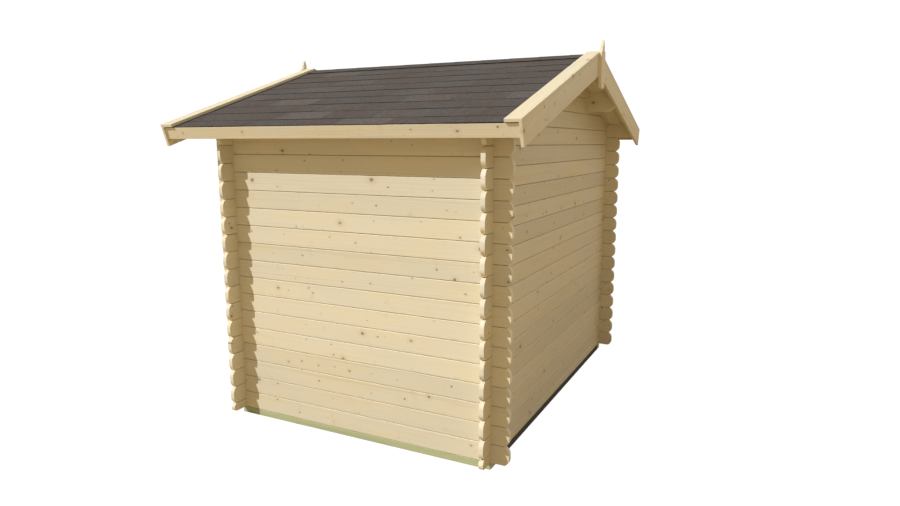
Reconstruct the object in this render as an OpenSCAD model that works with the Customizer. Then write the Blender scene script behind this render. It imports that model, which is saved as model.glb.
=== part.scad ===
// Garden shed of interlocking spruce logs: four log walls on a ring of foundation
// beams, a low gable roof on purlins, felt shingles, boarded verges and a plain door.
// Front (the door gable) faces -Y. Millimetres, Z = 0 is the underside of the beams.

/* [Walls] */
// Depth of the shed over the outer faces of the gable walls
wall_depth = 1840; // [1500:10:3000]
// Width of the shed over the outer faces of the eave walls
wall_width = 2510; // [2000:10:3600]
// Thickness of a wall log
log_t = 28; // [19:1:45]
// Height of one log course
log_h = 114; // [90:1:140]
// Number of courses in an eave wall
eave_courses = 17; // [14:1:21]
// Length of a log end past the crossing wall
log_end = 110; // [60:5:140]
// Distance that the rounding of a log end runs back from its tip
log_round_l = 28; // [10:1:40]
// Height of the rounding at the top and at the bottom of a log end
log_round_h = 45; // [40:1:57]
// Bevel along the long edges of a log
log_bevel = 3; // [1:0.5:5]

/* [Foundation beams] */
// Height of a foundation beam
beam_h = 42; // [30:1:80]
// Width of a foundation beam
beam_w = 62; // [45:1:100]

/* [Roof] */
// Slope of the roof in degrees
roof_pitch = 18.2; // [12:0.1:24]
// Depth that the roof line cuts off the outer face of the top eave log
top_trim = 15.5; // [8:0.5:26]
// Roof past the front wall, to the outer face of the bargeboards
front_overhang = 368; // [160:1:500]
// Roof past the rear wall, to the outer face of the bargeboards
rear_overhang = 229; // [160:1:500]
// Roof past an eave wall, to the outer face of the fascia
eave_overhang = 196; // [150:1:260]
// Thickness of the roof boards
deck_t = 16; // [12:1:28]
// Thickness of the felt shingles
felt_t = 6; // [3:0.5:10]
// Felt past the outer face of the fascia
felt_past = 0; // [0:1:25]
// Height of a fascia
fascia_h = 74; // [60:1:120]
// Thickness of a fascia
fascia_t = 18; // [12:1:28]
// Height of a bargeboard
barge_h = 125; // [90:1:180]
// Thickness of a bargeboard
barge_t = 19; // [12:1:28]
// Bargeboard past the outer face of the fascia
barge_past = 10; // [0:1:60]
// Width of a verge cap board
cap_w = 94; // [60:1:130]
// Thickness of a verge cap board
cap_t = 19; // [12:1:28]
// Gap between sloping faces that lie on each other
lay_gap = 0.05; // [0.03:0.01:0.5]

/* [Purlins] */
// Width of a purlin
purlin_w = 44; // [30:1:70]
// Height of a purlin on its higher side
purlin_h = 143; // [90:1:180]
// Distance from the ridge to the near face of a side purlin
purlin_x = 550; // [400:5:700]
// Length of the slanting cut under each purlin end
purlin_cut_l = 50; // [20:1:80]
// Height of the slanting cut at the purlin end
purlin_cut_h = 27; // [10:1:60]

/* [Finials] */
// Width of a finial board
finial_w = 90; // [70:1:130]
// Thickness of a finial board
finial_t = 20; // [12:1:30]
// Finial below the top of the ridge
finial_drop = 223; // [170:1:300]
// Finial above the top of the ridge
finial_rise = 88; // [70:1:140]
// Width of the point of a finial where it leaves the board
finial_neck = 42; // [20:1:50]
// Radius of the shoulders of a finial board
finial_shoulder_r = 18; // [5:1:22]
// Radius of the lower corners of a finial board
finial_foot_r = 31; // [5:1:34]

/* [Door] */
// Width of the door leaf
door_w = 840; // [600:10:1100]
// Courses that the doorway is cut through
door_courses = 16; // [13:1:17]
// Width of the frame round the door, inside the doorway
frame_w = 40; // [30:1:70]
// Lip of the frame over the wall outside
frame_lip = 28; // [15:1:50]
// Thickness of the lip
lip_t = 14; // [8:1:22]
// Thickness of the door boards
leaf_t = 19; // [14:1:30]
// Gap round the door leaf
leaf_gap = 4; // [2:0.5:8]
// Width of a ledge across the back of the door
ledge_w = 90; // [60:1:120]
// Thickness of a ledge
ledge_t = 18; // [12:1:26]
// Length of a strap hinge on the leaf
strap_l = 380; // [200:10:560]
// Width of a strap hinge
strap_w = 34; // [20:1:50]
// Thickness of a strap
strap_t = 2.5; // [1.5:0.5:5]
// Radius of a hinge knuckle
knuckle_r = 7; // [5:0.5:10]
// Length of the hinge plate on the frame, from the pin
plate_l = 52; // [35:1:65]
// Width of the handle's back plate
back_plate_w = 38; // [25:1:50]
// Height of the handle's back plate
back_plate_h = 160; // [110:5:240]
// Thickness of the handle's back plate
back_plate_t = 3; // [1.5:0.5:6]
// Length of the lever
lever_l = 105; // [80:5:140]
// Radius of the lever
lever_r = 8; // [5:0.5:10]
// Centre line of the lever off the face of the leaf
lever_off = 38; // [30:1:55]

/* [Hidden] */
$fn = 48;
pitch_cos = cos(roof_pitch);
pitch_sin = sin(roof_pitch);
pitch_tan = tan(roof_pitch);
half_w = wall_width / 2;
rear_y = (wall_depth + front_overhang - rear_overhang) / 2;
front_y = rear_y - wall_depth;
rear_barge_y = rear_y + rear_overhang;
front_barge_y = front_y - front_overhang;
roof_t = deck_t + felt_t;
eave_z = beam_h + eave_courses * log_h - top_trim;
ridge_z = eave_z + half_w * pitch_tan + roof_t / pitch_cos;
fascia_s = (half_w + eave_overhang) / pitch_cos;
notch_z = log_h / 4;
gable_logs = ceil((ridge_z - roof_t / pitch_cos - beam_h - log_h / 2) / log_h);
housing_h = 2 * log_h;
frame_out = door_w / 2 + leaf_gap + frame_w;
door_z0 = beam_h + log_h / 2;
door_z1 = door_z0 + door_courses * log_h;
leaf_z0 = door_z0 + frame_w + leaf_gap;
leaf_z1 = door_z1 - frame_w - leaf_gap;
leaf_inset = 2;
leaf_y = front_y - lip_t + leaf_inset;
ledge_inset = 30;
ledge_end_gap = 110;
spruce = [0.87, 0.80, 0.64];
trim_wood = [0.84, 0.75, 0.56];
treated = [0.70, 0.72, 0.50];
felt_brown = [0.37, 0.34, 0.32];
zinc = [0.70, 0.71, 0.72];

// Height at a distance x from the ridge, m above (or below) the top of the felt
function roof_z(x, m) = ridge_z + m / pitch_cos - abs(x) * pitch_tan;

// Point s down the right-hand slope from the ridge and m square to it
function slope_pt(s, m) = [
    s * pitch_cos + m * pitch_sin,
    ridge_z - s * pitch_sin + m * pitch_cos
];

// Lowest height of gable log g; log 0 is the half log on the beam
function gable_z0(g) = g == 0 ? beam_h : beam_h + (g - 0.5) * log_h;
function gable_z1(g) = beam_h + (g + 0.5) * log_h;

// Stands an outline drawn in X and Z up at y, t thick towards +Y
module upright(y, t) {
    translate([0, y + t, 0])
        rotate([90, 0, 0])
            linear_extrude(t)
                children();
}

// Strip of the right-hand slope from the ridge down to s, between two depths
module slope_strip(s, m0, m1) {
    polygon([
        [0, roof_z(0, m0)],
        slope_pt(s, m0),
        slope_pt(s, m1),
        [0, roof_z(0, m1)]
    ]);
}

// Runs an outline drawn in X and Z from the front bargeboards to the rear ones
module between_bargeboards() {
    upright(front_barge_y + barge_t, rear_barge_y - front_barge_y - 2 * barge_t)
        children();
}

// ---- Logs ----

// What is taken off the corner (x, z) of a board to round it by an arc that is upright
// at the height h and has run back by l at the corner's own level
module corner_waste(x, z, dx, dz, l, h) {
    r = (l * l + h * h) / (2 * l);
    difference() {
        translate([x + dx * (l - 1) / 2, z + dz * (h - 1) / 2])
            square([l + 1, h + 1], center = true);
        translate([x + dx * r, z + dz * h])
            circle(r);
    }
}

// Side view of a log from u0 to u1, its ends rounded where asked
module log_side(u0, u1, z0, z1, round_low, round_high) {
    h = min(log_round_h, (z1 - z0) / 2 - 1);
    l = min(log_round_l, h);
    difference() {
        translate([u0, z0])
            square([u1 - u0, z1 - z0]);
        if (round_low) {
            corner_waste(u0, z0, 1, 1, l, h);
            corner_waste(u0, z1, 1, -1, l, h);
        }
        if (round_high) {
            corner_waste(u1, z0, -1, 1, l, h);
            corner_waste(u1, z1, -1, -1, l, h);
        }
    }
}

// Notches of a crossing wall whose outer face is at u, on the side dir
module crossing_notches(u, dir, z0, z1) {
    low = dir > 0 ? u : u - log_t;
    translate([low, z0 - 1])
        square([log_t, notch_z + 1]);
    translate([low, z1 - notch_z])
        square([log_t, notch_z + 1]);
}

// Cross-section of a log, bevelled along its four edges, thickness from 0 inwards
module log_section(z0, z1) {
    b = log_bevel;
    polygon([
        [b, z0], [log_t - b, z0], [log_t, z0 + b], [log_t, z1 - b],
        [log_t - b, z1], [b, z1], [0, z1 - b], [0, z0 + b]
    ]);
}

// One log of the right-hand eave wall, course k from the bottom; the top one is square
// ended and runs on to the bargeboards to carry the verges
module eave_log(k) {
    z0 = beam_h + k * log_h;
    z1 = z0 + log_h;
    top = k == eave_courses - 1;
    u0 = top ? front_barge_y + barge_t : front_y - log_end;
    u1 = top ? rear_barge_y - barge_t : rear_y + log_end;
    intersection() {
        translate([half_w - log_t, 0, 0])
            rotate([90, 0, 90])
                linear_extrude(log_t)
                    difference() {
                        log_side(u0, u1, z0, z1, !top, !top);
                        crossing_notches(front_y, 1, z0, z1);
                        crossing_notches(rear_y, -1, z0, z1);
                    }
        upright(u0 - 1, u1 - u0 + 2)
            intersection() {
                translate([half_w - log_t, 0])
                    log_section(z0, z1);
                gable_face();
            }
    }
}

module eave_logs(first) {
    color(spruce)
        for (k = [first : 2 : eave_courses - 1])
            eave_log(k);
}

// Outline of the gable below the roof boards
module gable_face() {
    reach = half_w + log_end + 1;
    polygon([
        [-reach, 0], [reach, 0],
        [reach, roof_z(reach, -roof_t)],
        [0, roof_z(0, -roof_t)],
        [-reach, roof_z(reach, -roof_t)]
    ]);
}

// Housings for the purlins, open at the roof line
module purlin_housings() {
    translate([-purlin_w / 2, ridge_purlin_z0()])
        square([purlin_w, housing_h]);
    for (side = [-1, 1])
        translate([side * (purlin_x + purlin_w / 2) - purlin_w / 2, side_purlin_z0()])
            square([purlin_w, housing_h]);
}

// One log of a gable wall, drawn with its outer face at y = 0 and the wall towards +Y
module gable_log(g, u0, u1) {
    z0 = gable_z0(g);
    z1 = gable_z1(g);
    reach = half_w + log_end;
    intersection() {
        upright(0, log_t)
            intersection() {
                difference() {
                    log_side(u0, u1, z0, z1, u0 == -reach, u1 == reach);
                    crossing_notches(half_w, -1, g == 0 ? -log_h : z0, z1);
                    crossing_notches(-half_w, 1, g == 0 ? -log_h : z0, z1);
                    purlin_housings();
                }
                gable_face();
            }
        translate([u0 - 1, 0, 0])
            rotate([90, 0, 90])
                linear_extrude(u1 - u0 + 2)
                    log_section(z0, z1);
    }
}

// Logs from one number to another, two apart
module gable_run(first, last, u0, u1) {
    color(spruce)
        for (g = [first : 2 : last])
            gable_log(g, u0, u1);
}

module rear_logs(first) {
    translate([0, rear_y, 0])
        mirror([0, 1, 0])
            gable_run(first, gable_logs, -half_w - log_end, half_w + log_end);
}

module front_logs(first, last, u0, u1) {
    translate([0, front_y, 0])
        gable_run(first, last, u0, u1);
}

module front_left_logs(first) {
    front_logs(first, door_courses, -half_w - log_end, -frame_out);
}

module front_right_logs(first) {
    front_logs(first, door_courses, frame_out, half_w + log_end);
}

module front_gable_logs(first) {
    front_logs(first, gable_logs, -half_w - log_end, half_w + log_end);
}

// ---- Foundation beams ----

// Beam under the right-hand eave wall, flush with the wall outside
module side_beam() {
    color(treated)
        translate([half_w - beam_w, front_y, 0])
            cube([beam_w, wall_depth, beam_h]);
}

// Beam under a gable wall, fitted between the side beams
module end_beam(y) {
    color(treated)
        translate([-half_w + beam_w, y, 0])
            cube([wall_width - 2 * beam_w, beam_w, beam_h]);
}

// ---- Purlins ----

function ridge_purlin_z0() = roof_z(purlin_w / 2, -roof_t) - purlin_h;
function side_purlin_z0() = roof_z(purlin_x, -roof_t) - purlin_h;

// Slanting waste under both ends of a purlin whose underside is at z
module purlin_end_waste(z) {
    y0 = front_barge_y + barge_t;
    y1 = rear_barge_y - barge_t;
    translate([-half_w, 0, 0])
        rotate([90, 0, 90])
            linear_extrude(wall_width)
                for (end = [[y0, 1], [y1, -1]])
                    polygon([
                        [end[0], z + purlin_cut_h],
                        [end[0] + end[1] * purlin_cut_l, z],
                        [end[0] + end[1] * purlin_cut_l, z - 1],
                        [end[0] - end[1], z - 1],
                        [end[0] - end[1], z + purlin_cut_h]
                    ]);
}

module ridge_purlin() {
    w = purlin_w / 2;
    color(spruce)
        difference() {
            between_bargeboards()
                polygon([
                    [-w, ridge_purlin_z0()], [w, ridge_purlin_z0()],
                    [w, roof_z(w, -roof_t)], [0, roof_z(0, -roof_t)], [-w, roof_z(w, -roof_t)]
                ]);
            purlin_end_waste(ridge_purlin_z0());
        }
}

// Purlin half way down the right-hand slope
module side_purlin() {
    far = purlin_x + purlin_w;
    color(spruce)
        difference() {
            between_bargeboards()
                polygon([
                    [purlin_x, side_purlin_z0()], [far, side_purlin_z0()],
                    [far, roof_z(far, -roof_t)], [purlin_x, roof_z(purlin_x, -roof_t)]
                ]);
            purlin_end_waste(side_purlin_z0());
        }
}

// ---- Roof, drawn for the right-hand slope ----

module deck() {
    color(trim_wood)
        between_bargeboards()
            slope_strip(fascia_s - fascia_t - lay_gap, -roof_t + lay_gap, -felt_t);
}

module felt() {
    color(felt_brown)
        between_bargeboards()
            slope_strip(fascia_s + felt_past, -felt_t + lay_gap, 0);
}

module fascia() {
    color(trim_wood)
        between_bargeboards()
            polygon([
                slope_pt(fascia_s - fascia_t, -felt_t - fascia_h),
                slope_pt(fascia_s, -felt_t - fascia_h),
                slope_pt(fascia_s, -felt_t),
                slope_pt(fascia_s - fascia_t, -felt_t)
            ]);
}

// Bargeboard whose outer face is at y, its thickness towards dir
module bargeboard(y, dir) {
    color(trim_wood)
        upright(dir > 0 ? y : y - barge_t, barge_t)
            slope_strip(fascia_s + barge_past, -barge_h, 0);
}

// Flat board over a bargeboard and the edge of the felt
module cap_board(y, dir) {
    color(trim_wood)
        upright(dir > 0 ? y : y - cap_w, cap_w)
            slope_strip(fascia_s + barge_past, lay_gap, cap_t);
}

// Upright board over the meeting of two bargeboards, with a point above the ridge whose
// sides are arcs that leave the board upright
module finial(y) {
    w = finial_w / 2;
    n = finial_neck / 2;
    z0 = ridge_z - finial_drop;
    z1 = ridge_z + cap_t;
    point_h = finial_rise - cap_t;
    side_r = (point_h * point_h + n * n) / (2 * n);
    color(trim_wood)
        upright(y, finial_t) {
            difference() {
                translate([-w, z0])
                    square([finial_w, z1 - z0]);
                for (side = [-1, 1]) {
                    corner_waste(side * w, z0, -side, 1, finial_foot_r, finial_foot_r);
                    corner_waste(side * w, z1, -side, -1, finial_shoulder_r, finial_shoulder_r);
                }
            }
            intersection() {
                translate([-n, z1 - 1])
                    square([finial_neck, point_h + 1]);
                translate([n - side_r, z1])
                    circle(side_r);
                translate([side_r - n, z1])
                    circle(side_r);
            }
        }
}

// ---- Door ----

// Four-sided frame in the doorway with a lip over the logs outside
module door_frame() {
    opening = door_w / 2 + leaf_gap;
    color(trim_wood)
        difference() {
            union() {
                translate([-frame_out, front_y, door_z0])
                    cube([2 * frame_out, log_t, door_z1 - door_z0]);
                translate([-frame_out - frame_lip, front_y - lip_t, door_z0])
                    cube([2 * (frame_out + frame_lip), lip_t, door_z1 - door_z0 + frame_lip]);
            }
            translate([-opening, front_y - lip_t - 1, door_z0 + frame_w])
                cube([2 * opening, log_t + lip_t + 2, door_z1 - door_z0 - 2 * frame_w]);
        }
}

module door_leaf() {
    color(trim_wood)
        translate([-door_w / 2, leaf_y, leaf_z0])
            cube([door_w, leaf_t, leaf_z1 - leaf_z0]);
}

// Underside of ledge i, 0 at the bottom and 2 at the top
function ledge_z(i) =
    leaf_z0 + ledge_end_gap + i * (leaf_z1 - leaf_z0 - 2 * ledge_end_gap - ledge_w) / 2;

// Three ledges across the back of the leaf
module door_ledges() {
    color(trim_wood)
        for (i = [0 : 2])
            translate([-door_w / 2 + ledge_inset, leaf_y + leaf_t, ledge_z(i)])
                cube([door_w - 2 * ledge_inset, ledge_t, ledge_w]);
}

// Two strap hinges across the face of the leaf, knuckles over the frame edge, each
// strap and plate packed off the wood behind it
module door_hinges() {
    packing_back = 12;
    knuckle_x = door_w / 2 + leaf_gap / 2;
    color(zinc)
        for (i = [0, 2])
            translate([knuckle_x, front_y - lip_t, ledge_z(i) + ledge_w / 2 - strap_w / 2]) {
                translate([0, -knuckle_r, 0])
                    cylinder(h = strap_w, r = knuckle_r);
                translate([-strap_l, -knuckle_r - strap_t / 2, 0])
                    cube([strap_l + plate_l, strap_t, strap_w]);
                translate([packing_back, -knuckle_r, 0])
                    cube([plate_l - packing_back, knuckle_r, strap_w]);
                translate([-strap_l, -knuckle_r, 0])
                    cube([strap_l - packing_back, knuckle_r + leaf_inset, strap_w]);
            }
}

// Plain lever handle on a back plate, its spindle above the middle of the plate
module door_handle() {
    handle_x = -door_w / 2 + 60;
    handle_z = leaf_z0 + 0.53 * (leaf_z1 - leaf_z0);
    spindle_z = 28;
    spindle_r = 9;
    spindle_past = 6;
    color(zinc)
        translate([handle_x, leaf_y, handle_z]) {
            translate([-back_plate_w / 2, -back_plate_t, -back_plate_h / 2])
                cube([back_plate_w, back_plate_t, back_plate_h]);
            translate([0, 0, spindle_z])
                rotate([90, 0, 0])
                    cylinder(h = lever_off + spindle_past, r = spindle_r);
            translate([0, -lever_off, spindle_z])
                rotate([0, 90, 0])
                    cylinder(h = lever_l, r = lever_r);
        }
}

module mirrored() {
    mirror([1, 0, 0])
        children();
}

mirrored() side_beam();  // left_beam
side_beam();  // right_beam
end_beam(front_y);  // front_beam
end_beam(rear_y - beam_w);  // rear_beam
mirrored() eave_logs(0);  // left_logs_odd
mirrored() eave_logs(1);  // left_logs_even
eave_logs(0);  // right_logs_odd
eave_logs(1);  // right_logs_even
rear_logs(0);  // rear_logs_odd
rear_logs(1);  // rear_logs_even
front_logs(0, 0, -half_w - log_end, half_w + log_end);  // front_sill_log
front_left_logs(1);  // front_left_logs_odd
front_left_logs(2);  // front_left_logs_even
front_right_logs(1);  // front_right_logs_odd
front_right_logs(2);  // front_right_logs_even
front_gable_logs(door_courses + 1);  // front_gable_logs_odd
front_gable_logs(door_courses + 2);  // front_gable_logs_even
ridge_purlin();
mirrored() side_purlin();  // left_purlin
side_purlin();  // right_purlin
mirrored() deck();  // left_deck
deck();  // right_deck
mirrored() felt();  // left_felt
felt();  // right_felt
mirrored() fascia();  // left_fascia
fascia();  // right_fascia
mirrored() bargeboard(rear_barge_y, -1);  // rear_left_bargeboard
bargeboard(rear_barge_y, -1);  // rear_right_bargeboard
mirrored() bargeboard(front_barge_y, 1);  // front_left_bargeboard
bargeboard(front_barge_y, 1);  // front_right_bargeboard
mirrored() cap_board(rear_barge_y, -1);  // rear_left_cap_board
cap_board(rear_barge_y, -1);  // rear_right_cap_board
mirrored() cap_board(front_barge_y, 1);  // front_left_cap_board
cap_board(front_barge_y, 1);  // front_right_cap_board
finial(rear_barge_y);  // rear_finial
finial(front_barge_y - finial_t);  // front_finial
door_frame();
door_leaf();
door_ledges();
door_hinges();
door_handle();
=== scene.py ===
import math
import random

import bmesh
import bpy
from mathutils import Matrix, Vector


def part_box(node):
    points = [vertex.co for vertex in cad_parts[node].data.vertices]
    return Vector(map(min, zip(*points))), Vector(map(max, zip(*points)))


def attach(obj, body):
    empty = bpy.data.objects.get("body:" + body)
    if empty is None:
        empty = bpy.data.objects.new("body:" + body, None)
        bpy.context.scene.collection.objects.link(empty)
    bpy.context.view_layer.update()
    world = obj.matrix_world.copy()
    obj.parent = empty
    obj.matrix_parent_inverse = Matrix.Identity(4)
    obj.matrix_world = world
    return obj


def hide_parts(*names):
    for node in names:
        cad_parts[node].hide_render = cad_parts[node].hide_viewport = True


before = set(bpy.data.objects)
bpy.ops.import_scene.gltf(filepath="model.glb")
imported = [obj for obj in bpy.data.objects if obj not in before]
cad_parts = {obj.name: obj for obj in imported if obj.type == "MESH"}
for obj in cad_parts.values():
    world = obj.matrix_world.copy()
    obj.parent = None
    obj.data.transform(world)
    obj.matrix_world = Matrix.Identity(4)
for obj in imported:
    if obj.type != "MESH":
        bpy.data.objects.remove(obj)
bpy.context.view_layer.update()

# ---- Log walls ----
# Planed spruce logs laid in courses, notched over each other at the corners with the
# ends left long and rounded. Each log keeps the shape of its frame node; its arrises
# are eased and it carries its own grain, so that no two logs look alike.
# The tongues seen in the gaps between logs are painted dark brown as shade.

X, Y, Z = Vector((1, 0, 0)), Vector((0, 1, 0)), Vector((0, 0, 1))
rng = random.Random(114)
log_arris = 0.0014
log_gap = 0.0022
tongue_half = 0.004
tongue_short = 0.004


def corners_of(solid):
    """The vertices of a solid, each once and always in the same order."""
    return list(dict.fromkeys(v for f in solid for v in f.verts))


def middle_of(solid):
    """The mean of a solid's vertices."""
    corners = corners_of(solid)
    return sum((v.co for v in corners), Vector()) / len(corners)


def islands(bm):
    """The separate solids of a mesh, each as its list of faces, from the lowest up."""
    left = set(bm.faces)
    found = []
    for first in bm.faces:
        if first not in left:
            continue
        left.discard(first)
        solid, waiting = [first], [first]
        while waiting:
            face = waiting.pop()
            for edge in face.edges:
                for other in edge.link_faces:
                    if other in left:
                        left.discard(other)
                        solid.append(other)
                        waiting.append(other)
        found.append(solid)
    return sorted(found, key=lambda solid: middle_of(solid).dot(Vector((1, 10, 100))))


def copy_of(node):
    """A merged copy of a frame node's mesh, with its flat faces whole again."""
    bm = bmesh.new()
    bm.from_mesh(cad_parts[node].data)
    bmesh.ops.remove_doubles(bm, verts=bm.verts, dist=1e-5)
    bmesh.ops.dissolve_limit(bm, angle_limit=math.radians(0.8), verts=bm.verts, edges=bm.edges)
    return bm


def ease(bm, edges, width, segments):
    """Takes an edge off as a flat with one segment, or rounded with more."""
    bmesh.ops.bevel(bm, geom=edges, offset=width, offset_type="OFFSET", segments=segments,
                    profile=0.5, affect="EDGES", clamp_overlap=True, material=-1)


def ease_arrises(bm, radius, sharper_than=28):
    """Rounds the edges of each solid that turn by more than that many degrees."""
    corner = math.radians(sharper_than)
    for solid in islands(bm):
        edges = dict.fromkeys(e for f in solid for e in f.edges if len(e.link_faces) == 2)
        sharp = [e for e in edges if e.calc_face_angle(0) > corner]
        ease(bm, sharp, radius, 2)


def block(bm, low, high):
    """A plain block between two corners, to be shaped further; returns its vertices."""
    size = Vector(high) - Vector(low)
    place = Matrix.Translation((Vector(low) + Vector(high)) / 2) @ Matrix.Diagonal((*size, 1))
    return bmesh.ops.create_cube(bm, size=1.0, matrix=place)["verts"]


def tongue_of(log, along, level_within=0.001):
    """The corners of the tongue that stands on a log's top and fills the joint's middle."""
    verts = corners_of(log)
    high = max(v.co.z for v in verts)
    top = [v.co for v in verts if v.co.z > high - level_within]
    start, end = min(v.dot(along) for v in top), max(v.dot(along) for v in top)
    across = Z.cross(along)
    line = across * middle_of(log).dot(across) + Z * high
    return (line + along * (start + tongue_short) - across * tongue_half - Z * tongue_half,
            line + along * (end - tongue_short) + across * tongue_half + Z * tongue_half)


def open_joints(log):
    """Takes half the shrinkage gap off the top and the underside of a log."""
    verts = corners_of(log)
    low, high = min(v.co.z for v in verts), max(v.co.z for v in verts)
    keep = 1 - log_gap / (high - low)
    for v in verts:
        v.co.z = (low + high) / 2 + (v.co.z - (low + high) / 2) * keep


def lay_grain(bm, along, up):
    """Stores where each point lies in its own timber: along, up and across the grain.

    Each timber starts at a place and a tone of its own, and its faces across the grain
    are marked as sawn ends.
    """
    side = along.cross(up)
    grain = bm.verts.layers.float_vector.new("grain")
    tone = bm.verts.layers.float.new("tone")
    end = bm.faces.layers.float.new("end_grain")
    for solid in islands(bm):
        start, shade = rng.uniform(3, 60), rng.random()
        middle = middle_of(solid)
        for v in corners_of(solid):
            p = v.co - middle
            v[grain] = Vector((p.dot(along) + start, p.dot(up), p.dot(side)))
            v[tone] = shade
        for f in solid:
            f[end] = min(1.0, max(0.0, abs(f.normal.dot(along)) * 2.5 - 1.4))


def piece(bm, name, material, replaces=()):
    """Turns a bmesh into a finished piece of the shed that rides on its one body."""
    bm.normal_update()
    mesh = bpy.data.meshes.new(name)
    bm.to_mesh(mesh)
    bm.free()
    mesh.shade_smooth()
    obj = bpy.data.objects.new(name, mesh)
    bpy.context.scene.collection.objects.link(obj)
    mesh.materials.append(material)
    even = obj.modifiers.new("even_normals", "WEIGHTED_NORMAL")
    even.weight = 100
    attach(obj, "root")
    if replaces:
        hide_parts(*replaces)
    return obj


def node(tree, kind, **settings):
    """Adds a shader node with its settings."""
    made = tree.nodes.new(kind)
    for key, value in settings.items():
        setattr(made, key, value)
    return made


def feed(tree, socket, value):
    """Puts a number, a colour or another node's output on a socket."""
    if isinstance(value, bpy.types.NodeSocket):
        tree.links.new(value, socket)
    else:
        socket.default_value = value


def maths(tree, operation, *values, clamp=False):
    """One sum on numbers or on other nodes' outputs."""
    made = node(tree, "ShaderNodeMath", operation=operation, use_clamp=clamp)
    for socket, value in zip(made.inputs, values):
        feed(tree, socket, value)
    return made.outputs[0]


def spread(tree, value, low, high, to_low=0.0, to_high=1.0):
    """Maps a value smoothly from one span to another."""
    made = node(tree, "ShaderNodeMapRange", interpolation_type="SMOOTHSTEP")
    for socket, v in zip(made.inputs, (value, low, high, to_low, to_high)):
        feed(tree, socket, v)
    return made.outputs[0]


def mixed(tree, factor, first, second, blend="MIX"):
    """Mixes two colours by a factor."""
    made = node(tree, "ShaderNodeMix", data_type="RGBA", blend_type=blend, clamp_factor=True)
    feed(tree, made.inputs["Factor"], factor)
    feed(tree, made.inputs[6], first)
    feed(tree, made.inputs[7], second)
    return made.outputs[2]


def vector(tree, x, y, z):
    """Puts three numbers together as a vector or a grey."""
    made = node(tree, "ShaderNodeCombineXYZ")
    for socket, value in zip(made.inputs, (x, y, z)):
        feed(tree, socket, value)
    return made.outputs[0]


def noise(tree, place, scale, detail=2.0, rough=0.5):
    """A soft noise between 0 and 1."""
    made = node(tree, "ShaderNodeTexNoise")
    feed(tree, made.inputs["Vector"], place)
    made.inputs["Scale"].default_value = scale
    made.inputs["Detail"].default_value = detail
    made.inputs["Roughness"].default_value = rough
    return made.outputs["Fac"]


def group_of(name, inputs, outputs):
    """An empty shader group with its sockets, and its input and output nodes."""
    tree = bpy.data.node_groups.new(name, "ShaderNodeTree")
    for kind, sockets in (("INPUT", inputs), ("OUTPUT", outputs)):
        for label, socket_type in sockets:
            tree.interface.new_socket(label, in_out=kind, socket_type="NodeSocket" + socket_type)
    return tree, node(tree, "NodeGroupInput").outputs, node(tree, "NodeGroupOutput").inputs


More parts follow.
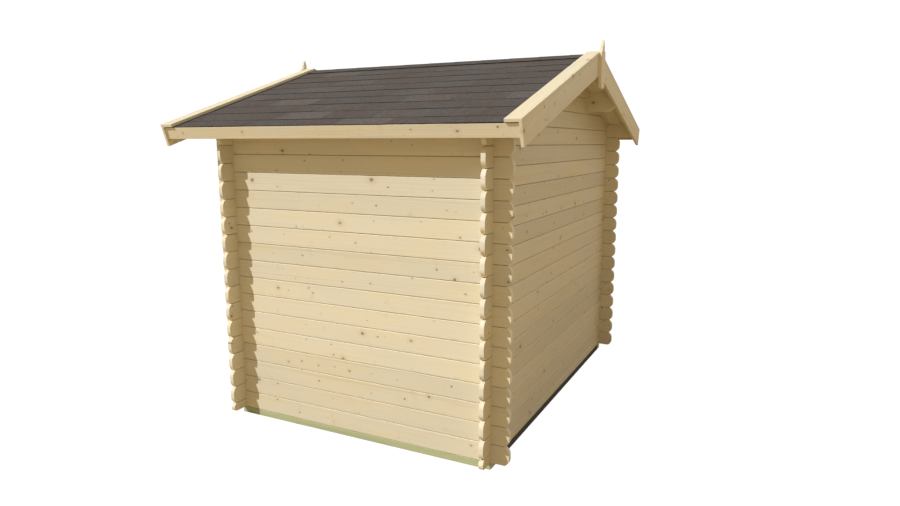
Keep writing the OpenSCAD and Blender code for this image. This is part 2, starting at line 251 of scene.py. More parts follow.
def timber_figure():
    """Growth rings, fibres and knots of softwood, in metres along, across and through it, with painted
    shade in the joints.
    """
    tree, given, out = group_of(
        "timber_figure",
        [("Grain", "Vector"), ("Tone", "Float"), ("End", "Float"), ("Pale", "Color"),
         ("Late", "Color"), ("Knot", "Color"), ("Figure", "Float"), ("Knots", "Float"),
         ("Joint_Shade", "Float")],
        [("Color", "Color"), ("Roughness", "Float"), ("Height", "Float")])
    place = node(tree, "ShaderNodeSeparateXYZ")
    tree.links.new(given["Grain"], place.inputs[0])
    along, across, through = place.outputs

    # Two kinds of knot, each in cells longer than they are high. Chance gives a cell its
    # knot, so most stay clear. Radii are in metres: small at least, small + grown at most.
    def knots_in(per_along, per_across, shift, small, grown, share, stretch=0.75):
        shifted = maths(tree, "MULTIPLY", given["Tone"], shift)
        spot = vector(tree, maths(tree, "MULTIPLY", along, per_along),
                      maths(tree, "MULTIPLY_ADD", across, per_across, shifted), 0.0)
        cells = node(tree, "ShaderNodeTexVoronoi", voronoi_dimensions="2D")
        tree.links.new(spot, cells.inputs["Vector"])
        cells.inputs["Scale"].default_value = 1.0
        away = node(tree, "ShaderNodeVectorMath", operation="SUBTRACT")
        tree.links.new(cells.outputs["Position"], away.inputs[0])
        tree.links.new(spot, away.inputs[1])
        metres = node(tree, "ShaderNodeVectorMath", operation="MULTIPLY")
        tree.links.new(away.outputs[0], metres.inputs[0])
        metres.inputs[1].default_value = (stretch / per_along, 1 / per_across, 0)
        reach = node(tree, "ShaderNodeVectorMath", operation="LENGTH")
        tree.links.new(metres.outputs[0], reach.inputs[0])
        chance = node(tree, "ShaderNodeSeparateColor")
        tree.links.new(cells.outputs["Color"], chance.inputs[0])
        wanted = maths(tree, "MULTIPLY", given["Knots"], share)
        there = maths(tree, "LESS_THAN", chance.outputs[1], wanted)
        mostly_small = maths(tree, "POWER", chance.outputs[0], 2.0)
        size = maths(tree, "MULTIPLY_ADD", mostly_small, grown, small)
        ragged = noise(tree, vector(tree, along, across, through), 170.0, 2.0, 0.6)
        edge = maths(tree, "MULTIPLY", size, maths(tree, "MULTIPLY_ADD", ragged, 1.9, 0.05))
        core = spread(tree, reach.outputs["Value"], edge, maths(tree, "MULTIPLY", edge, 0.55))
        glow = spread(tree, reach.outputs["Value"], maths(tree, "MULTIPLY", size, 3.6), size)
        rim = spread(tree, reach.outputs["Value"], 0.0, edge, 0.7, 1.0)
        strength = maths(tree, "MULTIPLY_ADD", chance.outputs[2], 0.35, 0.65)
        core = maths(tree, "MULTIPLY", core, maths(tree, "MULTIPLY", there, strength))
        return maths(tree, "MULTIPLY", core, rim), maths(tree, "MULTIPLY", glow, there)

    pin, pin_glow = knots_in(6.3, 14.0, 23.7, 0.0026, 0.0050, 0.62)
    branch, branch_glow = knots_in(2.3, 8.1, 41.3, 0.0048, 0.0092, 0.62)
    knot = maths(tree, "MAXIMUM", pin, branch)
    halo = maths(tree, "MAXIMUM", maths(tree, "MULTIPLY", pin_glow, 0.35), branch_glow)

    # Rings round a pith that lies off the timber, wandering slowly along it
    slow = noise(tree, vector(tree, maths(tree, "MULTIPLY", along, 0.55),
                              maths(tree, "MULTIPLY", across, 3.0), through), 1.0, 2.0)
    wander = maths(tree, "MULTIPLY_ADD", slow, 0.11, -0.055)
    pith_across = maths(tree, "MULTIPLY_ADD", given["Tone"], 0.16, -0.08)
    ring_across = maths(tree, "ADD", maths(tree, "ADD", across, pith_across), wander)
    ring_across = maths(tree, "MULTIPLY_ADD", halo, 0.006, ring_across)
    ring_through = maths(tree, "ADD", through, 0.047)
    rings = node(tree, "ShaderNodeTexWave", wave_type="RINGS", rings_direction="X")
    centred = vector(tree, maths(tree, "MULTIPLY", along, 0.012), ring_across, ring_through)
    tree.links.new(centred, rings.inputs["Vector"])
    rings.inputs["Scale"].default_value = 58.0
    rings.inputs["Distortion"].default_value = 1.6
    rings.inputs["Detail"].default_value = 2.0
    rings.inputs["Detail Scale"].default_value = 0.35
    late = maths(tree, "POWER", rings.outputs["Fac"], 2.6)
    streak = noise(tree, vector(tree, maths(tree, "MULTIPLY", along, 1.1),
                                maths(tree, "MULTIPLY", across, 42.0),
                                maths(tree, "MULTIPLY", through, 42.0)), 1.0, 3.0, 0.6)
    fibre = noise(tree, vector(tree, maths(tree, "MULTIPLY", along, 12.0),
                               maths(tree, "MULTIPLY", across, 700.0),
                               maths(tree, "MULTIPLY", through, 700.0)), 1.0, 2.0)
    patch = noise(tree, vector(tree, maths(tree, "MULTIPLY", along, 1.7),
                               maths(tree, "MULTIPLY", across, 7.0), given["Tone"]), 1.0, 2.0)

    figure = maths(tree, "MULTIPLY", late, maths(tree, "MULTIPLY_ADD", streak, 0.9, 0.05))
    figure = maths(tree, "ADD", figure, spread(tree, streak, 0.50, 0.74, 0.0, 0.35))
    figure = maths(tree, "MULTIPLY", figure, given["Figure"], clamp=True)
    colour = mixed(tree, figure, given["Pale"], given["Late"])
    fresh_sawn = (0.95, 0.95, 0.86, 1)
    sawn = mixed(tree, 0.55, given["Pale"], fresh_sawn)
    colour = mixed(tree, maths(tree, "MULTIPLY", given["End"], 0.5), colour, sawn)
    shade = maths(tree, "MULTIPLY_ADD", given["Tone"], 0.10, 0.945)
    shade = maths(tree, "MULTIPLY", shade, maths(tree, "MULTIPLY_ADD", patch, 0.13, 0.935))
    shade = maths(tree, "MULTIPLY", shade, maths(tree, "MULTIPLY_ADD", fibre, 0.07, 0.965))
    colour = mixed(tree, 1.0, colour, vector(tree, shade, shade, shade), "MULTIPLY")
    honey = (1.0, 0.975, 0.91, 1)
    warm = mixed(tree, 1.0, colour, honey, "MULTIPLY")
    colour = mixed(tree, spread(tree, patch, 0.42, 0.66), colour, warm)
    colour = mixed(tree, maths(tree, "MULTIPLY", halo, 0.40), colour, given["Late"])
    stain = noise(tree, vector(tree, maths(tree, "MULTIPLY", along, 14.0),
                               maths(tree, "MULTIPLY", across, 9.0), given["Tone"]), 1.0, 3.0, 0.6)
    colour = mixed(tree, spread(tree, stain, 0.60, 0.78, 0.0, 0.45), colour, given["Late"])
    colour = mixed(tree, knot, colour, given["Knot"])
    # Painted shade: the tongues seen through the gaps between logs are darkened brown, so the joints
    # read dark
    joint_shade_brown = (0.30, 0.20, 0.115, 1)
    painted_joint_shade = mixed(tree, 1.0, colour, joint_shade_brown, "MULTIPLY")
    colour = mixed(tree, given["Joint_Shade"], colour, painted_joint_shade)
    tree.links.new(colour, out["Color"])
    rough = maths(tree, "MULTIPLY_ADD", streak, 0.16, 0.52)
    tree.links.new(maths(tree, "MULTIPLY_ADD", knot, -0.12, rough), out["Roughness"])
    relief = maths(tree, "MULTIPLY_ADD", fibre, 0.6, maths(tree, "MULTIPLY", late, 0.5))
    tree.links.new(maths(tree, "MULTIPLY_ADD", knot, 0.5, relief), out["Height"])
    return tree


figure_group = timber_figure()


def attribute(tree, name, output):
    """Reads what a mesh stores on its points or faces."""
    return node(tree, "ShaderNodeAttribute", attribute_name=name).outputs[output]


def timber(name, pale, late, knot, figure=0.6, knots=0.5, relief=0.00035):
    """A softwood finish with its own colours, on the shared figure."""
    material = bpy.data.materials.new(name)
    material.use_nodes = True
    tree = material.node_tree
    shader = tree.nodes["Principled BSDF"]
    shader.inputs["Specular IOR Level"].default_value = 0.28
    wood = node(tree, "ShaderNodeGroup", node_tree=figure_group)
    feed(tree, wood.inputs["Grain"], attribute(tree, "grain", "Vector"))
    feed(tree, wood.inputs["Tone"], attribute(tree, "tone", "Fac"))
    feed(tree, wood.inputs["End"], attribute(tree, "end_grain", "Fac"))
    feed(tree, wood.inputs["Joint_Shade"], attribute(tree, "joint", "Fac"))
    wood.inputs["Pale"].default_value = (*pale, 1)
    wood.inputs["Late"].default_value = (*late, 1)
    wood.inputs["Knot"].default_value = (*knot, 1)
    wood.inputs["Figure"].default_value = figure
    wood.inputs["Knots"].default_value = knots
    tree.links.new(wood.outputs["Color"], shader.inputs["Base Color"])
    tree.links.new(wood.outputs["Roughness"], shader.inputs["Roughness"])
    bump = node(tree, "ShaderNodeBump")
    bump.inputs["Strength"].default_value = 0.5
    bump.inputs["Distance"].default_value = relief
    tree.links.new(wood.outputs["Height"], bump.inputs["Height"])
    tree.links.new(bump.outputs[0], shader.inputs["Normal"])
    return material


log_timber = timber("log_timber", pale=(0.765, 0.705, 0.555), late=(0.625, 0.535, 0.36),
                    knot=(0.20, 0.115, 0.040), figure=0.5, knots=0.6)
eave_walls = ["left_logs_odd", "left_logs_even", "right_logs_odd", "right_logs_even"]
gable_walls = ["rear_logs_odd", "rear_logs_even", "front_sill_log",
               "front_left_logs_odd", "front_left_logs_even",
               "front_right_logs_odd", "front_right_logs_even",
               "front_gable_logs_odd", "front_gable_logs_even"]
for wall, along in [(w, Y) for w in eave_walls] + [(w, X) for w in gable_walls]:
    bm = copy_of(wall)
    tongues = [tongue_of(log, along) for log in islands(bm)]
    for log in islands(bm):
        open_joints(log)
    ease_arrises(bm, log_arris)
    # Marks the tongues, whose colour the wood finish darkens as painted shade in the joints
    painted_joint_shade = bm.verts.layers.float.new("joint")
    for one, other in tongues:
        low = Vector([min(pair) for pair in zip(one, other)])
        high = Vector([max(pair) for pair in zip(one, other)])
        for v in block(bm, low, high):
            v[painted_joint_shade] = 1.0
    lay_grain(bm, along, Z)
    piece(bm, wall + "_timber", log_timber, [wall])

# ---- Purlins ----
# Three bearers under the roof, housed in the gable logs, with a slanting cut under
# each end. The same spruce as the logs.

purlin_arris = 0.002
for purlin in ("ridge_purlin", "left_purlin", "right_purlin"):
    bm = copy_of(purlin)
    ease_arrises(bm, purlin_arris)
    lay_grain(bm, Y, Z)
    piece(bm, purlin + "_timber", log_timber, [purlin])

# ---- Foundation beams ----
# Four pressure treated bearers that keep the bottom logs off the ground. The salts
# leave the pine green; the two under the gables get a nearly black copy as painted shade.

treated_timber = timber("treated_timber", pale=(0.47, 0.505, 0.31), late=(0.28, 0.32, 0.17),
                        knot=(0.13, 0.08, 0.03), figure=0.8, knots=0.45)
# Painted shade: a near-black copy of the treated finish for the two bearers under the gables
shaded_beam_timber = timber("shaded_beam_timber", pale=(0.085, 0.090, 0.088), late=(0.045, 0.048, 0.046),
                       knot=(0.02, 0.018, 0.015), figure=0.8, knots=0.45)
beam_arris = 0.003
for beam, along, finish in (("left_beam", Y, treated_timber), ("right_beam", Y, treated_timber),
                            ("front_beam", X, shaded_beam_timber), ("rear_beam", X, shaded_beam_timber)):
    bm = copy_of(beam)
    ease_arrises(bm, beam_arris)
    lay_grain(bm, along, Z)
    piece(bm, beam + "_timber", finish, [beam])

# ---- Roof boards ----
# Tongued boards laid from the ridge to the fascia, side by side along the roof. Their
# joints show from below as a row of shallow V grooves under the overhangs.

trim_timber = timber("trim_timber", pale=(0.785, 0.725, 0.565), late=(0.65, 0.535, 0.345),
                     knot=(0.19, 0.105, 0.038), knots=0.55)
pitch = math.radians(18.2)
down_right = Vector((math.cos(pitch), 0, -math.sin(pitch)))
square_to_right = Vector((math.sin(pitch), 0, math.cos(pitch)))


def mirrored(v):
    """A direction on the right slope, as it is on the left."""
    return Vector((-v.x, v.y, v.z))


def edges_along(bm, direction):
    """The edges that run within about 25 degrees of a direction."""
    return [e for e in bm.edges
            if abs((e.verts[0].co - e.verts[1].co).normalized().dot(direction)) > 0.9]


def lay_on_slope(bm, verts, ridge, down, outward):
    """Lays a shape on a roof slope: its X runs down from the ridge and its Z outwards."""
    slope = Matrix((down, Y, outward)).transposed().to_4x4()
    bmesh.ops.transform(bm, matrix=Matrix.Translation(ridge) @ slope, verts=verts)


deck_low, deck_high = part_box("right_deck")
deck_thick = 0.01595
deck_length = (deck_high.x - deck_thick * math.sin(pitch)) / math.cos(pitch)
ridge_under = Vector((0, 0, deck_high.z - deck_thick / math.cos(pitch)))
board_count = 26
board_wide = (deck_high.y - deck_low.y) / board_count
board_half_gap = 0.0003
board_groove = 0.0035
past_ridge = 0.03
slopes = (("right", down_right, square_to_right),
          ("left", mirrored(down_right), mirrored(square_to_right)))
for hand, down, outward in slopes:
    bm = bmesh.new()
    for i in range(board_count):
        y = deck_low.y + i * board_wide
        block(bm, (-past_ridge, y + board_half_gap, 0),
              (deck_length, y + board_wide - board_half_gap, deck_thick))
    ease(bm, edges_along(bm, X), board_groove, 1)
    lay_on_slope(bm, bm.verts, ridge_under, down, outward)
    bmesh.ops.bisect_plane(bm, geom=bm.verts[:] + bm.edges[:] + bm.faces[:], dist=1e-6,
                           plane_co=(0, 0, 0), plane_no=(-down.x, 0, 0), clear_outer=True)
    bmesh.ops.holes_fill(bm, edges=[e for e in bm.edges if e.is_boundary], sides=0)
    bmesh.ops.recalc_face_normals(bm, faces=bm.faces)
    lay_grain(bm, down, outward)
    piece(bm, hand + "_roof_boards", trim_timber, [hand + "_deck"])

# ---- Fascias, bargeboards, cap boards and finials ----
# Planed spruce boards nailed round the roof: a fascia along each eave, a bargeboard up
# each verge with a flat cap board over it, and a pointed finial over each apex.

trim_arris = 0.0018
trims = [("left_fascia", Y, mirrored(square_to_right)), ("right_fascia", Y, square_to_right)]
for end in ("front", "rear"):
    trims += [(f"{end}_{hand}_bargeboard", down, outward) for hand, down, outward in slopes]
    trims += [(f"{end}_{hand}_cap_board", down, Y) for hand, down, outward in slopes]
    trims.append((end + "_finial", Z, X))
for trim, along, up in trims:
    bm = copy_of(trim)
    ease_arrises(bm, trim_arris)
    lay_grain(bm, along, up)
    piece(bm, trim + "_timber", trim_timber, [trim])

# ---- Roof nails ----
# Zinc plated nails with flat heads, through the boards that trim the roof and into the
# roof boards, the purlins and each other.


def zinc_finish():
    """Zinc plate with a faint spangle and dull patches."""
    dark_crystal, pale_crystal = (0.55, 0.56, 0.57, 1), (0.70, 0.71, 0.72, 1)
    dull = (0.50, 0.50, 0.49, 1)
    material = bpy.data.materials.new("zinc_steel")
    material.use_nodes = True
    tree = material.node_tree
    shader = tree.nodes["Principled BSDF"]
    shader.inputs["Metallic"].default_value = 0.9
    place = node(tree, "ShaderNodeTexCoord").outputs["Object"]
    spangle = node(tree, "ShaderNodeTexVoronoi")
    tree.links.new(place, spangle.inputs["Vector"])
    spangle.inputs["Scale"].default_value = 220.0
    crystal = node(tree, "ShaderNodeSeparateColor")
    tree.links.new(spangle.outputs["Color"], crystal.inputs[0])
    haze = noise(tree, place, 40.0, 3.0)
    colour = mixed(tree, crystal.outputs[0], dark_crystal, pale_crystal)
    colour = mixed(tree, spread(tree, haze, 0.45, 0.75, 0, 0.5), colour, dull)
    tree.links.new(colour, shader.inputs["Base Color"])
    rough = maths(tree, "MULTIPLY_ADD", crystal.outputs[1], 0.15, 0.34)
    tree.links.new(rough, shader.inputs["Roughness"])
    return material


zinc_steel = zinc_finish()


def extents(name, direction):
    """How far a frame node reaches along a direction, at its least and its most."""
    reach = [v.co.dot(direction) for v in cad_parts[name].data.vertices]
    return min(reach), max(reach)


def nail_head(bm, place, outward, radius=0.0032):
    """A low head, flat on top with a sloping rim, whose middle lies in the surface."""
    turn = outward.to_track_quat("Z", "Y").to_matrix().to_4x4()
    bmesh.ops.create_cone(bm, cap_ends=True, segments=12, radius1=radius, radius2=radius * 0.7,
                          depth=radius * 0.5, matrix=Matrix.Translation(place) @ turn)


def nail_board(bm, name, along, across, outward, count, from_end, from_side):
    """Two rows of nails down a board, each nail a few millimetres out of line."""
    slip_along, slip_across = 0.004, 0.002
    low, high = extents(name, along)
    near, far = extents(name, across)
    face = extents(name, outward)[1]
    for i in range(count):
        for row in (near + from_side, far - from_side):
            at = low + from_end + (high - low - 2 * from_end) * i / (count - 1)
            place = along * (at + rng.uniform(-slip_along, slip_along))
            place += across * (row + rng.uniform(-slip_across, slip_across)) + outward * face
            nail_head(bm, place, outward)


bm = bmesh.new()
for hand, down, square in slopes:
    nail_board(bm, hand + "_fascia", Y, square, down, count=9, from_end=0.09, from_side=0.018)
    for end, outward in (("front", -Y), ("rear", Y)):
        nail_board(bm, f"{end}_{hand}_bargeboard", down, square, outward,
                   count=4, from_end=0.10, from_side=0.030)
        nail_board(bm, f"{end}_{hand}_cap_board", down, Y, square,
                   count=5, from_end=0.08, from_side=0.022)
for end, outward in (("front", -Y), ("rear", Y)):
    low = extents(end + "_finial", Z)[0]
    face = extents(end + "_finial", outward)[1]
    for rise in (0.045, 0.115):
        nail_head(bm, Z * (low + rise) + outward * face, outward)
piece(bm, "roof_nails", zinc_steel)

# ---- Felt shingles ----
# Bitumen strips with mineral granules, laid in courses from the eave up, each over the
# top of the last, and folded over the ridge. Cut edges show black bitumen.


def felt_finish():
    """Grey-brown mineral granules on bitumen, darkened along the butts as painted shade, and black
    where cut.
    """
    dark_grit, pale_grit = (0.042, 0.038, 0.038, 1), (0.150, 0.133, 0.128, 1)
    dull_grit, to_brown, to_grey = (0.070, 0.062, 0.062, 1), (1.06, 0.97, 0.95, 1), (0.96, 1.0, 1.03, 1)
    butt_shade_dark, cut_bitumen = (0.025, 0.022, 0.021, 1), (0.020, 0.018, 0.018, 1)
    material = bpy.data.materials.new("roof_felt")
    material.use_nodes = True
    tree = material.node_tree
    shader = tree.nodes["Principled BSDF"]
    shader.inputs["Specular IOR Level"].default_value = 0.22
    place = node(tree, "ShaderNodeTexCoord").outputs["Object"]
    tone = attribute(tree, "tone", "Fac")
    grit = noise(tree, place, 620.0, 3.0, 0.7)
    blotch = noise(tree, place, 26.0, 3.0, 0.6)
    wide = noise(tree, place, 3.2, 2.0)
    colour = mixed(tree, spread(tree, grit, 0.30, 0.72), dark_grit, pale_grit)
    colour = mixed(tree, spread(tree, blotch, 0.35, 0.70, 0.0, 0.35), colour, dull_grit)
    brown = mixed(tree, 1.0, colour, to_brown, "MULTIPLY")
    grey = mixed(tree, 1.0, colour, to_grey, "MULTIPLY")
    colour = mixed(tree, spread(tree, wide, 0.35, 0.65), brown, grey)
    clump = noise(tree, place, 130.0, 2.0, 0.6)
    shade = maths(tree, "MULTIPLY_ADD", maths(tree, "POWER", tone, 4.0), 0.34, 0.94)
    shade = maths(tree, "MULTIPLY", shade, spread(tree, clump, 0.30, 0.72, 0.60, 1.40))
    shade = maths(tree, "MULTIPLY", shade, maths(tree, "MULTIPLY_ADD", wide, 0.30, 0.85))
    colour = mixed(tree, 1.0, colour, vector(tree, shade, shade, shade), "MULTIPLY")
    # Painted shade: a dark band along the butt of each tab, so that the courses show as dark lines
    butt_shade = spread(tree, attribute(tree, "to_butt", "Fac"), 0.955, 1.0, 0.0, 0.55)
    colour = mixed(tree, butt_shade, colour, butt_shade_dark)
    colour = mixed(tree, attribute(tree, "cut_edge", "Fac"), colour, cut_bitumen)
    tree.links.new(colour, shader.inputs["Base Color"])
    tree.links.new(maths(tree, "MULTIPLY_ADD", grit, 0.2, 0.74), shader.inputs["Roughness"])
    bump = node(tree, "ShaderNodeBump")
    bump.inputs["Strength"].default_value = 0.6
    bump.inputs["Distance"].default_value = 0.0012
    tree.links.new(grit, bump.inputs["Height"])
    tree.links.new(bump.outputs[0], shader.inputs["Normal"])
    return material


roof_felt = felt_finish()
felt_low, felt_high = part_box("right_felt")
felt_thick = 0.00595
felt_length = felt_high.x / math.cos(pitch)
ridge_top = Vector((0, 0, felt_high.z))
exposure = 0.163
first_course_less = 0.042
head_lap = 0.035
tab_wide = 0.3333
half_slit = 0.0005
narrowest_tab = 0.02
edge_gap = 0.001
strip_under, strip_top = -0.0045, -0.0032
strip_middle = (strip_under + strip_top) / 2
underside_lift, least_lift, most_lift = 0.0002, 0.0012, 0.0032
underlay_from, underlay_short = 0.004, 0.002
highest_top, highest_butt = 0.012, 0.06
course_slip, butt_wear = 0.05, 0.0015


def mark_shingles(bm, outward):
    """Gives each strip its own shade and finds its cut edges."""
    tone = bm.verts.layers.float.new("tone")
    cut_edge = bm.faces.layers.float.new("cut_edge")
    for solid in islands(bm):
        shade = rng.random()
        for v in corners_of(solid):
            v[tone] = shade
        for f in solid:
            f[cut_edge] = 1.0 if abs(f.normal.dot(outward)) < 0.5 else 0.0


front_edge, rear_edge = felt_low.y + edge_gap, felt_high.y - edge_gap
for hand, down, outward in slopes:
    # The underlay, then the courses from the eave up, every second one half a tab along
    bm = bmesh.new()
    block(bm, (underlay_from, front_edge, -felt_thick),
          (felt_length - underlay_short, rear_edge, strip_under))
    to_butt = bm.verts.layers.float.new("to_butt")
    butt = felt_length
    course = 0
    while butt > highest_butt:
        top = max(highest_top, butt - exposure - head_lap)
        y = front_edge - (course % 2) * tab_wide / 2 - rng.uniform(0.0, course_slip)
        while y < rear_edge:
            y0 = max(y + half_slit, front_edge)
            y1 = min(y + tab_wide - half_slit, rear_edge)
            if y1 - y0 > narrowest_tab:
                worn = rng.uniform(0, butt_wear)
                corners = block(bm, (top, y0, strip_under), (butt - worn, y1, strip_top))
                lift = rng.uniform(least_lift, most_lift)
                for v in corners:
                    if v.co.x > top + 0.01:
                        v[to_butt] = 1.0
                        v.co.z += underside_lift if v.co.z < strip_middle else lift
            y += tab_wide
        butt -= exposure if course else exposure - first_course_less
        course += 1
    lay_on_slope(bm, bm.verts, ridge_top, down, outward)
    bmesh.ops.recalc_face_normals(bm, faces=bm.faces)
    mark_shingles(bm, outward)
    piece(bm, hand + "_shingles", roof_felt, [hand + "_felt"])

# Pieces folded over the ridge between the cap boards, each lying over the end of the last
front_cap_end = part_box("front_right_cap_board")[1].y
rear_cap_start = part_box("rear_right_cap_board")[0].y
fold_half, fold_step, fold_lap = 0.10, 0.215, 0.05
fold_thick, fold_lift, lifted_end = 0.0022, 0.0016, 0.04
past_fold = 0.004
bm = bmesh.new()
y = front_cap_end - 0.02
while y < rear_cap_start - 0.002:
    y0 = max(y, front_cap_end + edge_gap)
    y1 = min(y + fold_step + fold_lap, rear_cap_start - edge_gap)
    for _, down, outward in slopes:
        corners = block(bm, (-past_fold, y0, 0.0), (fold_half, y1, fold_thick))
        for v in corners:
            if v.co.y < y + lifted_end:
                v.co.z += fold_lift
        lay_on_slope(bm, corners, ridge_top, down, outward)
    y += fold_step
bmesh.ops.recalc_face_normals(bm, faces=bm.faces)
mark_shingles(bm, Z)
piece(bm, "ridge_shingles", roof_felt)

# ---- Door ----
# A boarded door in the front gable: a planed frame with a lip over the logs, a leaf of
# upright tongued boards held by three ledges, hung on two zinc plated strap hinges.

door_arris = 0.002
for part, along in (("door_frame", Z), ("door_ledges", X)):
    bm = copy_of(part)
    ease_arrises(bm, door_arris)
    lay_grain(bm, along, Y.cross(along))
    piece(bm, part + "_timber", trim_timber, [part])

leaf_low, leaf_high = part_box("door_leaf")
leaf_boards = 9
leaf_board = (leaf_high.x - leaf_low.x) / leaf_boards
leaf_half_gap = 0.0002
leaf_groove = 0.004
bm = bmesh.new()
for i in range(leaf_boards):
    x = leaf_low.x + i * leaf_board
    block(bm, (x + leaf_half_gap, leaf_low.y, leaf_low.z),
          (x + leaf_board - leaf_half_gap, leaf_high.y, leaf_high.z))
ease(bm, edges_along(bm, Z), leaf_groove, 1)
lay_grain(bm, Z, X)
piece(bm, "door_boards", trim_timber, ["door_leaf"])

# Stops nailed round the inside of the frame, which the leaf shuts against
reveal, stop_wide, stop_deep, stop_arris = 0.0035, 0.018, 0.015, 0.0015
stop_gap = 0.0005
stop_y = leaf_high.y + stop_gap
bm = bmesh.new()
for left, right in ((leaf_low.x - reveal, leaf_low.x - reveal + stop_wide),
                    (leaf_high.x + reveal - stop_wide, leaf_high.x + reveal)):
    block(bm, (left, stop_y, leaf_low.z - reveal), (right, stop_y + stop_deep, leaf_high.z + reveal))
ease_arrises(bm, stop_arris)
lay_grain(bm, Z, X)
piece(bm, "door_side_stops", trim_timber)
bm = bmesh.new()
for low, high in ((leaf_low.z - reveal, leaf_low.z - reveal + stop_wide),
                  (leaf_high.z + reveal - stop_wide, leaf_high.z + reveal)):
    block(bm, (leaf_low.x - reveal + stop_wide, stop_y, low),
          (leaf_high.x + reveal - stop_wide, stop_y + stop_deep, high))
ease_arrises(bm, stop_arris)
lay_grain(bm, X, Z)
piece(bm, "door_head_and_sill_stops", trim_timber)

ledge_low, ledge_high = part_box("door_ledges")
ledge_half = 0.045
nail_row, nail_slip = 0.022, 0.006
bm = bmesh.new()
for z in (ledge_low.z + ledge_half, (ledge_low.z + ledge_high.z) / 2, ledge_high.z - ledge_half):
    for i in range(leaf_boards):
        for rise in (-nail_row, nail_row):
            x = leaf_low.x + (i + 0.5) * leaf_board + rng.uniform(-nail_slip, nail_slip)
            nail_head(bm, Vector((x, leaf_low.y, z + rise)), -Y)
piece(bm, "door_nails", zinc_steel)

# ---- Strap hinges ----
# Two strap hinges of zinc plated steel, each screwed through the leaf into a ledge and
# through its plate into the frame.

hinge_arris = 0.0008
bm = copy_of("door_hinges")
ease_arrises(bm, hinge_arris)
hinge_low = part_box("door_hinges")[0]
knuckle_stands = 0.0058
strap_face = hinge_low.y + knuckle_stands
screw_radius = 0.0048
strap_screws = [(0.028, 0), (0.130, 0), (0.232, 0), (0.334, 0)]
plate_screws = [(0.412, -0.009), (0.412, 0.009)]
for z in (ledge_low.z + ledge_half, ledge_high.z - ledge_half):
    for reach, rise in strap_screws + plate_screws:
        nail_head(bm, Vector((hinge_low.x + reach, strap_face, z + rise)), -Y, screw_radius)
piece(bm, "door_hinges_metal", zinc_steel, ["door_hinges"])

# ---- Door handle ----
# A lever on a long back plate, both of zinc plated steel, with the round front of the
# lock cylinder under it and a screw at each end of the plate.

handle_low, handle_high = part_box("door_handle")
plate_wide, plate_thick = 0.038, 0.003
plate_x = handle_low.x + plate_wide / 2
plate_face = handle_high.y - plate_thick
plate_corner, plate_rim = 0.010, 0.0011
screw_in, plate_screw = 0.014, 0.0040
lever_z = 1.091
bm = bmesh.new()
block(bm, (handle_low.x, plate_face, handle_low.z),
      (handle_low.x + plate_wide, handle_high.y, handle_high.z))
ease(bm, edges_along(bm, Y), plate_corner, 5)
rim = [e for e in bm.edges if all(v.co.y < plate_face + 1e-5 for v in e.verts)]
ease(bm, rim, plate_rim, 2)
for z in (handle_low.z + screw_in, handle_high.z - screw_in):
    nail_head(bm, Vector((plate_x, plate_face, z)), -Y, plate_screw)

# The front of the lock cylinder, with its keyway sunk in it
lock_drop, lock_radius = 0.062, 0.0085
keyway_in, keyway_draft, keyway_deep, keyway_narrowing = 0.0030, 0.0002, 0.0030, 0.4
before = set(bm.faces)
nail_head(bm, Vector((plate_x, plate_face, lever_z - lock_drop)), -Y, lock_radius)
front = min(set(bm.faces) - before, key=lambda f: f.calc_center_median().y)
bmesh.ops.inset_individual(bm, faces=[front], thickness=keyway_in)
keyway = set(front.verts)
bmesh.ops.inset_individual(bm, faces=[front], thickness=keyway_draft, depth=-keyway_deep)
for v in keyway | set(front.verts):
    v.co.x = plate_x + (v.co.x - plate_x) * keyway_narrowing

# The lever is one bar, drawn out through rings that each have a place, a heading and a
# radius: a round rose on the plate, a quarter bend, and a grip that ends in a round tip
lever_y, lever_end = handle_low.y + 0.008, handle_high.x
bend, bar_radius = 0.012, 0.0078
tip_radius, tip_length, tip_from_end, tip_least = 0.0066, 0.007, 0.0075, 0.001
rose = [(0.0005, 0.0130), (-0.0035, 0.0130), (-0.0050, 0.0115), (-0.0051, 0.0085)]
quarter_turn = [math.radians(15 * step) for step in range(7)]
stations = [(Vector((plate_x, plate_face + rise, lever_z)), -Y, radius) for rise, radius in rose]
for turn in quarter_turn:
    reach_x, reach_y = bend * (1 - math.cos(turn)), bend * (1 - math.sin(turn))
    centre = Vector((plate_x + reach_x, lever_y + reach_y, lever_z))
    stations.append((centre, X * math.sin(turn) - Y * math.cos(turn), bar_radius))
for turn in quarter_turn:
    centre = Vector((lever_end - tip_from_end + tip_length * math.sin(turn), lever_y, lever_z))
    stations.append((centre, X, max(tip_least, tip_radius * math.cos(turn))))

# The first ring only moves to its place; each later one is drawn out of the one before
end = bm.faces.new(bmesh.ops.create_circle(bm, segments=20, radius=1.0)["verts"])
placed = Matrix()
for centre, heading, radius in stations:
    ring = Matrix((heading.cross(Z) * radius, Z * radius, heading)).transposed().to_4x4()
    ring.translation = centre
    if placed != Matrix():
        end = bmesh.ops.extrude_discrete_faces(bm, faces=[end])["faces"][0]
    bmesh.ops.transform(bm, matrix=ring @ placed.inverted(), verts=end.verts)
    placed = ring
bmesh.ops.holes_fill(bm, edges=[e for e in bm.edges if e.is_boundary], sides=0)
bmesh.ops.recalc_face_normals(bm, faces=bm.faces)
piece(bm, "door_handle_metal", zinc_steel, ["door_handle"])

# ---- Ground, daylight and camera ----
# A pale floor that runs out of sight, a sun off the front right corner, a wide soft lamp
# off the left side and a warm even sky. The camera stands off the rear right corner at
# eye height, and sees the floor and the sky white.

bm = bmesh.new()
bmesh.ops.create_circle(bm, cap_ends=True, segments=96, radius=60.0)
floor_mesh = bpy.data.meshes.new("floor")
bm.to_mesh(floor_mesh)
bm.free()
floor = bpy.data.objects.new("floor", floor_mesh)
bpy.context.scene.collection.objects.link(floor)
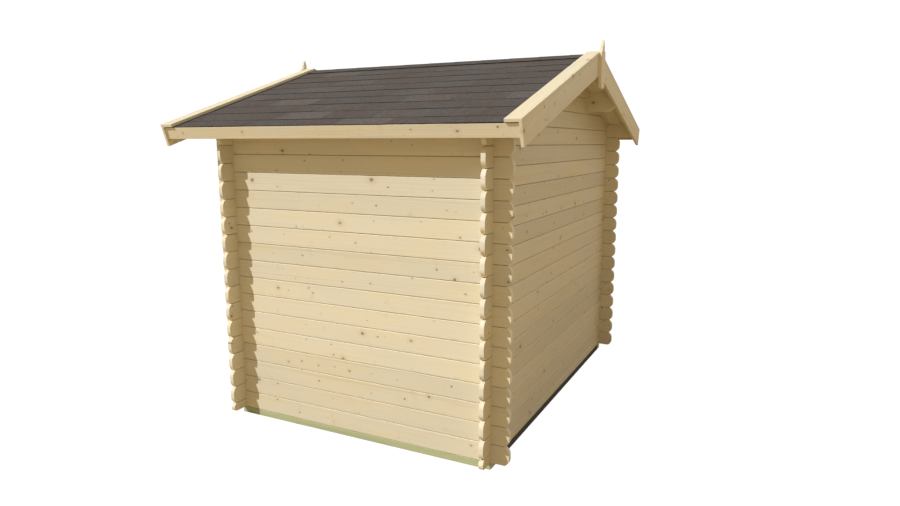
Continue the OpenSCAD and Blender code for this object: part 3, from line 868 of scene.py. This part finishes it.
# What the camera sees of the floor is white; the light that it throws back is earth brown
pale = bpy.data.materials.new("pale_floor")
pale.use_nodes = True
ground = pale.node_tree
ground.nodes.remove(ground.nodes["Principled BSDF"])
bounce = node(ground, "ShaderNodeBsdfDiffuse")
bounce.inputs["Color"].default_value = (0.44, 0.34, 0.20, 1)
soft = node(ground, "ShaderNodeBsdfDiffuse")
soft.inputs["Color"].default_value = (0.07, 0.07, 0.07, 1)
glow = node(ground, "ShaderNodeEmission")
glow.inputs["Strength"].default_value = 0.98
seen = node(ground, "ShaderNodeAddShader")
ground.links.new(soft.outputs[0], seen.inputs[0])
ground.links.new(glow.outputs[0], seen.inputs[1])
either = node(ground, "ShaderNodeMixShader")
ground.links.new(node(ground, "ShaderNodeLightPath").outputs["Is Camera Ray"], either.inputs[0])
ground.links.new(bounce.outputs[0], either.inputs[1])
ground.links.new(seen.outputs[0], either.inputs[2])
ground.links.new(either.outputs[0], ground.nodes["Material Output"].inputs["Surface"])
floor_mesh.materials.append(pale)


def daylight(name, comes_from, energy, spread_degrees, colour):
    """A lamp far off in one direction; the wider its spread, the softer its shadows."""
    light = bpy.data.lights.new(name, "SUN")
    light.energy = energy
    light.angle = math.radians(spread_degrees)
    light.color = colour
    lamp = bpy.data.objects.new(name, light)
    lamp.rotation_mode = "QUATERNION"
    lamp.rotation_quaternion = Vector(comes_from).to_track_quat("Z", "Y")
    bpy.context.scene.collection.objects.link(lamp)


daylight("sun", (1.0, -1.05, 1.22), 3.25, 1.2, (0.95, 0.98, 1.0))
daylight("open_sky", (-1.0, 0.45, 0.55), 0.5, 50, (0.80, 0.88, 1.0))

# The sky lights the shed with a warm colour and is plain white behind it
world = bpy.data.worlds.new("sky")
world.use_nodes = True
sky = world.node_tree
shine = sky.nodes["Background"]
plain = node(sky, "ShaderNodeBackground")
plain.inputs["Color"].default_value = (1, 1, 1, 1)
plain.inputs["Strength"].default_value = 1.05
shine.inputs["Color"].default_value = (1.0, 0.84, 0.59, 1)
shine.inputs["Strength"].default_value = 0.48
swap = node(sky, "ShaderNodeMixShader")
sky.links.new(node(sky, "ShaderNodeLightPath").outputs["Is Camera Ray"], swap.inputs[0])
sky.links.new(shine.outputs[0], swap.inputs[1])
sky.links.new(plain.outputs[0], swap.inputs[2])
sky.links.new(swap.outputs[0], sky.nodes["World Output"].inputs["Surface"])
bpy.context.scene.world = world
bpy.context.scene.view_settings.view_transform = "Standard"

lens = bpy.data.cameras.new("camera")
lens.lens = 26.13
lens.clip_end = 300
camera = bpy.data.objects.new("camera", lens)
camera.location = (4.432, 2.3155, 1.826)
looking = Vector((-0.8827, -0.4394, -0.1669))
camera.rotation_mode = "QUATERNION"
camera.rotation_quaternion = looking.to_track_quat("-Z", "Y")
bpy.context.scene.collection.objects.link(camera)
bpy.context.scene.camera = camera
